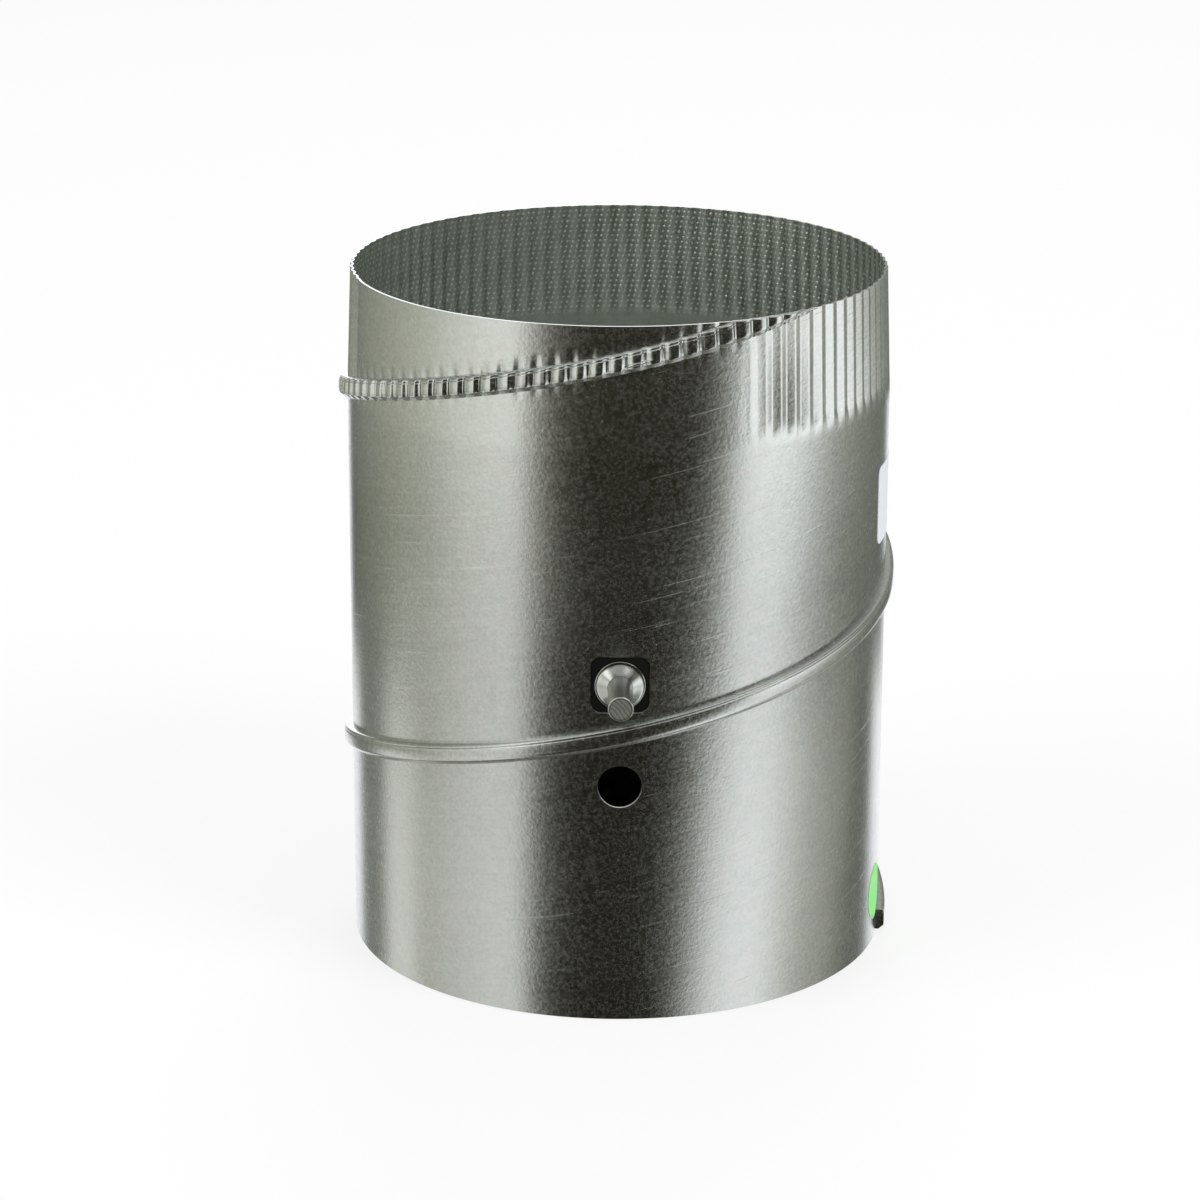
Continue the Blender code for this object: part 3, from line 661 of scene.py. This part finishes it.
# Painted light and shade: darker on the flutes' crests and lighter in their valleys, most on the
# right where they face the light; the dots are painted lighter still on the darkened crests.
light_facing = (turn - LIGHT_FACING_MIDDLE).math("COSINE").smooth(*LIGHT_FACING_SIDES)
shaded_bands = (crest_share(turn).smooth(*SHADED_BAND_EDGE) - 0.5) * fluted_share(turn)
shaded_bands = shaded_bands * rise.smooth(*SHADED_BAND_FOOT) * light_facing
tone = INSIDE_TONE - shaded_bands * 0.32 + dots * (0.40 + shaded_bands * 0.30)
tint = shade.node("ShaderNodeCombineColor", None, {
    name: tone * amount for name, amount in zip(("Red", "Green", "Blue"), INSIDE_TINT)})
mottled_and_shaded = shade.node("ShaderNodeMix", {"data_type": "RGBA", "blend_type": "MULTIPLY"}, {
    0: 1.0, 6: color, 7: tint}, 2)
surface(shade, "ShaderNodeBsdfPrincipled", {
    "Base Color": mottled_and_shaded, "Roughness": rough + INSIDE_ROUGHER, "Metallic": 1.0,
    "Normal": (dots + height * 0.3).bump(0.5, 0.0002)})

wall_sizes = {"Radius": DUCT_RADIUS, "Sheet": SHEET, "Foot": 0.0, "Length": DUCT_LENGTH,
              "Body": CRIMP_START - BODY_MARGIN}
grow, size = new_tree("duct_wall", **wall_sizes)
outside, foot, body, top = size["Radius"], size["Foot"], size["Body"], size["Length"]
inside = outside - size["Sheet"]
outer_faces = [
    wall_skin(grow, outside, foot, body, SKIN_ROWS[0], False),
    wall_skin(grow, outside, body, top, SKIN_ROWS[1], False),
    wall_rim(grow, inside, outside, foot),
    wall_rim(grow, outside, inside, top),
]
inner_faces = [
    wall_skin(grow, inside, foot, body, BORE_ROWS[0], True),
    wall_skin(grow, inside, body, top, BORE_ROWS[1], True),
]
shell = joined(grow, [
    dressed(grow, joined(grow, outer_faces), galvanised),
    dressed(grow, joined(grow, inner_faces), embossed),
])
duct = grown("duct_wall", grow, merged(grow, shell), **wall_sizes)


def rounded_square(side, corner, steps=8):
    """The outline of a square with round corners, about its middle."""
    points = []
    for quarter, (side_x, side_y) in enumerate(((1, 1), (-1, 1), (-1, -1), (1, -1))):
        for step in range(steps + 1):
            turn = quarter * math.pi / 2 + step * math.pi / 2 / steps
            points.append((side_x * (side / 2 - corner) + corner * math.cos(turn),
                           side_y * (side / 2 - corner) + corner * math.sin(turn)))
    return points


def circle(radius, steps):
    return [(radius * math.cos(2 * math.pi * i / steps), radius * math.sin(2 * math.pi * i / steps))
            for i in range(steps)]


def facing(front, z):
    """Turns local Z to point out of the duct, to the front or the rear, at a height."""
    turn = math.pi / 2 if front else -math.pi / 2
    return Matrix.Translation((0.0, 0.0, z)) @ Matrix.Rotation(turn, 4, "X")


def punch(piece, outline, front, z):
    """Punch an outline through the duct's wall, at the front or the rear."""
    bm = bmesh.new()
    face = bm.faces.new([bm.verts.new((x, y, DUCT_RADIUS - PUNCH_REACH)) for x, y in outline])
    lifted = bmesh.ops.extrude_face_region(bm, geom=[face])["geom"]
    verts = [item for item in lifted if isinstance(item, bmesh.types.BMVert)]
    bmesh.ops.translate(bm, verts=verts, vec=(0.0, 0.0, 2 * PUNCH_REACH))
    bmesh.ops.recalc_face_normals(bm, faces=bm.faces[:])
    bm.transform(facing(front, z))
    tool = mesh_piece("punch", mesh_from(bm, "punch"))
    cut = piece.modifiers.new("punch", "BOOLEAN")
    cut.operation = "DIFFERENCE"
    cut.solver = "EXACT"
    cut.object = tool
    depsgraph = bpy.context.evaluated_depsgraph_get()
    piece.data = bpy.data.meshes.new_from_object(piece.evaluated_get(depsgraph))
    piece.modifiers.clear()
    bpy.data.objects.remove(tool)


for front in (True, False):
    punch(duct, rounded_square(PUNCHED_SIDE, PUNCHED_CORNER), front, SHAFT_Z)
punch(duct, circle(SERVICE_HOLE / 2, SERVICE_HOLE_STEPS), True, SERVICE_HOLE_Z)
duct.data.shade_smooth()
duct.data.set_sharp_from_angle(angle=WALL_SMOOTH)
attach(duct, "root")
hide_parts("duct_shell")

# The lock seam is the two folded edges of the strip, hooked together and rolled down flat. It
# stands proud of the wall outside, with a thin line where the folds meet, and the crimping rolls
# have nicked it into teeth. Its section is in millimetres, across it and out of the wall.
SEAM_SECTION = (
    (-3.50, -0.30), (-3.50, 0.90), (-3.32, 1.25), (-2.35, 2.25), (-2.10, 2.60), (-1.80, 2.74),
    (-1.00, 2.80), (1.90, 2.78), (2.15, 2.72), (2.32, 2.52), (2.50, 2.66), (2.95, 2.55),
    (3.32, 2.15), (3.50, 1.50), (3.50, -0.30), (-3.50, -0.30),
)
SEAM_SIDES = len(SEAM_SECTION) - 1
SEAM_CRUSH = (0.028, 0.039, 0.0, 0.45)
SEAM_SMOOTH = math.radians(60.0)
CUT_TOLERANCE = 0.000001

# A curve runs from 0 to 1, so it holds an axis of the section as (axis, millimetres, its zero).
SECTION_ACROSS = (0, 8.0, 0.5)
SECTION_OUT = (1, 4.0, 0.2)

# The seam is counted in flutes: it starts at a square end, and is crimped from the middle one on.
SEAM_FIRST = -74.3
SEAM_CRIMPED = 60
SEAM_LAST = 112
PLAIN_COLUMNS = 3
TOOTH_COLUMNS = 30

# A tooth rises fast, then drops to its valley, where the fold has opened into a slit.
TOOTH_NICK = 0.00095
TOOTH_START = 1.0 - 0.98
TOOTH_RISE = 0.43
TOOTH_DROP = (0.60, 0.87)
TOOTH_SLIT = 0.94
TOOTH_SLIT_DEPTH = (0.0, 0.045, 0.00025, 0.0)
TEETH_FOOT = (-0.001, 0.003)
TEETH_TALL = (0.0, 0.0020)

seam_sizes = {"Radius": DUCT_RADIUS, "Nick": TOOTH_NICK}
grow, size = new_tree("lock_seam", **seam_sizes)


def section_at(over, axis, span, zero):
    """One axis of the seam's section in metres, at a share of the way round it."""
    points = [(k / SEAM_SIDES, point[axis] / span + zero) for k, point in enumerate(SEAM_SECTION)]
    curve = grow.node("ShaderNodeFloatCurve", {"points": points}, {"Value": over})
    return (curve - zero) * (span / 1000.0)


def seam_run(first, last, columns):
    """The folded ridge from one flute to another."""
    def place(along, over):
        turn = (along * (last - first) + first) * (FULL_TURN / CRIMP_COUNT)
        across = section_at(over, *SECTION_ACROSS)
        height = section_at(over, *SECTION_OUT)
        z = turn * SEAM_CLIMB + SEAM_FRONT_Z + across
        rise = z - CRIMP_START
        tooth = (flutes_past(turn) + TOOTH_START).math("FRACT")
        climb = (1.0 - tooth / TOOTH_RISE).math("MAXIMUM", 0.0)
        slit = (tooth - TOOTH_SLIT).math("ABSOLUTE").smooth(*TOOTH_SLIT_DEPTH)
        nick = (climb * climb + tooth.smooth(*TOOTH_DROP)) * size["Nick"] + slit
        nick = nick * rise.smooth(*TEETH_FOOT) * height.smooth(*TEETH_TALL)
        inset = taper_at(rise) + nick + height * rise.smooth(*SEAM_CRUSH)
        return round_duct(turn, size["Radius"] + height - inset, z)

    return sweep(grow, round((last - first) * columns), SEAM_SIDES, place)


ridge = joined(grow, [seam_run(SEAM_FIRST, SEAM_CRIMPED, PLAIN_COLUMNS),
                      seam_run(SEAM_CRIMPED, SEAM_LAST, TOOTH_COLUMNS)])
seam = grown("lock_seam", grow, dressed(grow, merged(grow, ridge), galvanised), **seam_sizes)
seam_bm = bmesh.new()
seam_bm.from_mesh(seam.data)
for rim_z, outwards in ((0.0, -1.0), (DUCT_LENGTH, 1.0)):
    everything = seam_bm.verts[:] + seam_bm.edges[:] + seam_bm.faces[:]
    bmesh.ops.bisect_plane(seam_bm, geom=everything, dist=CUT_TOLERANCE, clear_outer=True,
                           plane_co=(0.0, 0.0, rim_z), plane_no=(0.0, 0.0, outwards))
bmesh.ops.holes_fill(seam_bm, edges=[edge for edge in seam_bm.edges if edge.is_boundary])
seam_bm.to_mesh(seam.data)
seam_bm.free()
seam.data.shade_smooth()
seam.data.set_sharp_from_angle(angle=SEAM_SMOOTH)
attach(seam, "root")

# A black nylon bearing snaps into each punched square hole from inside: a square boss flush with
# the wall, and a round flange behind it. Its shape stays as the CAD made it.
NYLON_DARK = (0.004, 0.004, 0.003, 1.0)
NYLON_DUSTY = (0.009, 0.008, 0.007, 1.0)
NYLON_DUST = (0.45, 0.85)


def refinish(names, material):
    """Give carried-over CAD nodes a finish."""
    for name in names:
        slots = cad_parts[name].data.materials
        slots.clear()
        slots.append(material)


nylon, shade = new_material("black_nylon")
place = object_place(shade)
wear = place.noise(130.0, 4.0)
surface(shade, "ShaderNodeBsdfPrincipled", {
    "Base Color": wear.smooth(*NYLON_DUST).mix(NYLON_DARK, NYLON_DUSTY),
    "Roughness": 0.50 + wear * 0.2, "Specular IOR Level": 0.2,
    "Normal": place.noise(1600.0, 2.0).bump(0.12, 0.0001)})
refinish(("bearing_front", "bearing_rear"), nylon)

# The shaft is a sawn length of bright drawn rod, 5/16 inch thick. Its ends show the saw's arcs and
# a small chamfer, and its skin the faint lines of drawing.
SHAFT_RADIUS = 0.00397
SHAFT_FRONT = -0.1115
SHAFT_REAR = 0.1089
SHAFT_CHAMFER = 0.0003
SHAFT_STEPS = 72
ROD_TONE = 0.50
ROD_ACROSS = 1500.0
ROD_ALONG = 22.0
SAW_CENTRE = (-0.011, SHAFT_FRONT, SHAFT_Z - 0.009)
SAW_ARCS = 5200.0
SAWN_SKIN = 0.0001
BURR_INNER = (0.0032, 0.0034)
BURR_OUTER = (0.00355, 0.0037, 1.0, 0.0)
BURR_DARK = 0.7


def revolve(name, profile, steps, matrix, material, smooth_angle=math.radians(40.0)):
    """Turn (radius, height) points about local Z into a closed piece, placed by a matrix."""
    bm = bmesh.new()
    rings = []
    for radius, height in profile:
        if radius == 0.0:
            rings.append([bm.verts.new((0.0, 0.0, height))] * steps)
        else:
            rings.append([bm.verts.new((x, y, height)) for x, y in circle(radius, steps)])
    closed = profile[0][0] != 0.0
    for low, high in zip(rings, rings[1:] + (rings[:1] if closed else [])):
        for i in range(steps):
            corners = [low[i], low[(i + 1) % steps], high[(i + 1) % steps], high[i]]
            bm.faces.new(sorted(set(corners), key=corners.index))
    bmesh.ops.recalc_face_normals(bm, faces=bm.faces[:])
    bm.transform(matrix)
    return mesh_piece(name, mesh_from(bm, name, smooth_angle), material)


def distance(place, point):
    return place.node("ShaderNodeVectorMath", {"operation": "DISTANCE"}, {0: place, 1: point}, 1)


rod, shade = new_material("drawn_rod")
place = object_place(shade)
lengthwise = shade.node("ShaderNodeCombineXYZ", None, {
    "X": place.part(0) * ROD_ACROSS, "Y": place.part(1) * ROD_ALONG,
    "Z": place.part(2) * ROD_ACROSS})
drawn = lengthwise.noise(1.0, 2.0)
patch = place.noise(210.0, 4.0)
saw = (distance(place, SAW_CENTRE) * SAW_ARCS + patch * 7.0).math("SINE")
end = place.part(1).math("LESS_THAN", SHAFT_FRONT + SAWN_SKIN)
end = end + place.part(1).math("GREATER_THAN", SHAFT_REAR - SAWN_SKIN)
flat = shade.node("ShaderNodeCombineXYZ", None, {"X": place.part(0), "Y": 0.0, "Z": place.part(2)})
across = distance(flat, (0.0, 0.0, SHAFT_Z))
burr = end * across.smooth(*BURR_INNER) * across.smooth(*BURR_OUTER)
tone = (ROD_TONE + drawn * 0.08 - patch * 0.06) * (1.0 - end * 0.1)
tone = (tone + end * (saw * 0.12 + patch * 0.10)) * (1.0 - burr * BURR_DARK)
color = shade.node("ShaderNodeCombineColor", None, {
    "Red": tone, "Green": tone * 1.01, "Blue": tone * 0.95})
height = drawn * 0.4 + end * (saw * 0.6 + patch * 2.0)
surface(shade, "ShaderNodeBsdfPrincipled", {
    "Base Color": color, "Roughness": 0.26 + patch * 0.12 + end * 0.26, "Metallic": 1.0,
    "Normal": height.bump(0.5, 0.0001)})
shaft_profile = (
    (0.0, -SHAFT_REAR), (SHAFT_RADIUS - SHAFT_CHAMFER, -SHAFT_REAR),
    (SHAFT_RADIUS, -SHAFT_REAR + SHAFT_CHAMFER), (SHAFT_RADIUS, -SHAFT_FRONT - SHAFT_CHAMFER),
    (SHAFT_RADIUS - SHAFT_CHAMFER, -SHAFT_FRONT), (0.0, -SHAFT_FRONT),
)
shaft = revolve("drive_shaft", shaft_profile, SHAFT_STEPS, facing(True, SHAFT_Z), rod)
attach(shaft, "blade")
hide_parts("shaft")

# A domed push-on collar of bright thin steel grips the shaft outside each bearing. It is pressed
# from sheet: a thin turned-out rim, and a smooth cone that closes on the rod. Its profile is in
# millimetres from the shaft's axis and out of the wall.
COLLAR_BASE = 0.0890
COLLAR_PROFILE = (
    (4.05, 2.84), (4.60, 2.50), (5.20, 2.10), (5.80, 1.67), (6.40, 1.22), (6.95, 0.84),
    (7.30, 0.63), (7.50, 0.56), (7.62, 0.55), (7.80, 0.52), (7.96, 0.42), (8.00, 0.26),
    (7.95, 0.10), (7.80, 0.02), (6.70, 0.02), (6.20, 0.60), (5.60, 1.30), (4.90, 1.86),
    (4.05, 2.20),
)
COLLAR_STEPS = 72
COLLAR_SMOOTH = math.radians(60.0)
COLLAR_STEEL = (0.54, 0.55, 0.53, 1.0)

polished, shade = new_material("polished_steel")
smudge = object_place(shade).noise(300.0, 4.0)
surface(shade, "ShaderNodeBsdfPrincipled", {
    "Base Color": COLLAR_STEEL, "Roughness": 0.12 + smudge * 0.12, "Metallic": 1.0})
collar_profile = [(radius / 1000.0, COLLAR_BASE + out / 1000.0) for radius, out in COLLAR_PROFILE]
for name, front in (("shaft_collar_front", True), ("shaft_collar_rear", False)):
    collar = revolve(name + "_dome", collar_profile, COLLAR_STEPS, facing(front, SHAFT_Z), polished,
                     COLLAR_SMOOTH)
    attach(collar, "blade")
    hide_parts(name)

# Two stickers go on at the maker's: a blank white paper label near the crimp, and a round green
# inspection dot low down. Both are thin paper that follows the wall.
LABEL_MIDDLE = math.radians(71.0) + 0.0330 / DUCT_RADIUS
LABEL_LENGTH = 0.0660
LABEL_HEIGHT = 0.0261
LABEL_Z = 0.1539
LABEL_CORNER = 0.0030
LABEL_CORNER_STEPS = 8
LABEL_STEPS = 32
LABEL_LIGHT = (0.86, 0.88, 0.95, 1.0)
LABEL_DARK = (0.80, 0.82, 0.90, 1.0)
DOT_TURN = math.radians(77.2)
DOT_RADIUS = 0.0095
DOT_Z = 0.0165
DOT_STEPS = 40
DOT_LIGHT = (0.34, 1.0, 0.30, 1.0)
DOT_DARK = (0.30, 0.96, 0.27, 1.0)
PAPER_BASE = 0.08891
PAPER_THICKNESS = 0.00012


def sticker(name, columns, middle, z, material):
    """A sheet laid round the duct, from upright columns of (place along it, half height)."""
    bm = bmesh.new()
    rings = []
    top = PAPER_BASE + PAPER_THICKNESS
    for along, half in columns:
        turn = middle + along / DUCT_RADIUS
        rings.append([
            bm.verts.new((radius * math.sin(turn), -radius * math.cos(turn), z + up))
            for radius, up in ((PAPER_BASE, -half), (top, -half), (top, half), (PAPER_BASE, half))])
    for before, after in zip(rings, rings[1:]):
        for k in range(4):
            bm.faces.new((before[k], before[(k + 1) % 4], after[(k + 1) % 4], after[k]))
    bm.faces.new(rings[0])
    bm.faces.new(rings[-1])
    bmesh.ops.recalc_face_normals(bm, faces=bm.faces[:])
    return mesh_piece(name, mesh_from(bm, name), material)


def paper(name, light, dark):
    """Sticker paper of a colour, with fibres and a slight unevenness."""
    material, shade = new_material(name)
    place = object_place(shade)
    fibre = place.noise(1300.0, 3.0)
    cloud = place.noise(90.0, 3.0)
    surface(shade, "ShaderNodeBsdfPrincipled", {
        "Base Color": (fibre * 0.5 + cloud * 0.5).mix(dark, light),
        "Roughness": 0.5 + fibre * 0.15, "Normal": fibre.bump(0.15, 0.00005)})
    return material


corner = []
for step in range(LABEL_CORNER_STEPS + 1):
    turn = step * math.pi / (2 * LABEL_CORNER_STEPS)
    corner.append((LABEL_CORNER * (1.0 - math.cos(turn)) - LABEL_LENGTH / 2,
                   LABEL_HEIGHT / 2 - LABEL_CORNER * (1.0 - math.sin(turn))))
start = corner[-1][0]
middle = [(start - 2 * start * i / LABEL_STEPS, LABEL_HEIGHT / 2) for i in range(1, LABEL_STEPS)]
label_columns = corner + middle + [(-along, half) for along, half in reversed(corner)]
label = sticker("paper_label", label_columns, LABEL_MIDDLE, LABEL_Z,
                paper("label_paper", LABEL_LIGHT, LABEL_DARK))
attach(label, "root")
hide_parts("blank_label")
dot_turns = [(i + 0.5) * math.pi / DOT_STEPS for i in range(DOT_STEPS)]
dot_columns = [(-DOT_RADIUS * math.cos(turn), DOT_RADIUS * math.sin(turn)) for turn in dot_turns]
dot = sticker("green_dot", dot_columns, DOT_TURN, DOT_Z,
              paper("green_sticker", DOT_LIGHT, DOT_DARK))
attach(dot, "root")
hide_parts("inspection_dot")

# The blade is two round plates of galvanised sheet, each with a channel pressed across it for the
# shaft. Closed, it rests on two bent tabs of the same sheet, spot-welded inside the wall.
blade_sheet, shade = new_material("blade_sheet")
color, rough, height, _ = spangled(shade, object_place(shade))
surface(shade, "ShaderNodeBsdfPrincipled", {
    "Base Color": color, "Roughness": rough + 0.06, "Metallic": 1.0,
    "Normal": height.bump(0.12, 0.0001)})
refinish(("blade_upper_plate", "blade_lower_plate", "stop_tab_left", "stop_tab_right"), blade_sheet)

# The seal is moulded rubber in two halves, clamped between the plates, and it wipes the wall. Its
# skin is fine-grained, with a pale bloom here and there.
RUBBER_DARK = (0.016, 0.016, 0.016, 1.0)
RUBBER_FADED = (0.05, 0.05, 0.05, 1.0)
RUBBER_BLOOM = (0.4, 0.9)

rubber, shade = new_material("seal_rubber")
place = object_place(shade)
bloom = place.noise(160.0, 4.0)
surface(shade, "ShaderNodeBsdfPrincipled", {
    "Base Color": bloom.smooth(*RUBBER_BLOOM).mix(RUBBER_DARK, RUBBER_FADED),
    "Roughness": 0.62 + bloom * 0.2, "Normal": place.noise(1500.0, 2.0).bump(0.2, 0.0001)})
refinish(("blade_seal_left", "blade_seal_right"), rubber)

# Zinc-plated steel fasteners hold the blade: two bolts through plates and shaft, with their nuts
# and washers, and eight rivets that close the plates on the seal.
ZINC_DARK = (0.62, 0.63, 0.62, 1.0)
ZINC_LIGHT = (0.76, 0.77, 0.78, 1.0)
FASTENERS = ("blade_bolt", "blade_nut", "blade_rivet", "bolt_washer")

zinc, shade = new_material("zinc_plating")
cloud = object_place(shade).noise(400.0, 4.0)
surface(shade, "ShaderNodeBsdfPrincipled", {
    "Base Color": cloud.mix(ZINC_DARK, ZINC_LIGHT), "Roughness": 0.22 + cloud * 0.16,
    "Metallic": 1.0})
refinish([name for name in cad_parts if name.startswith(FASTENERS)], zinc)
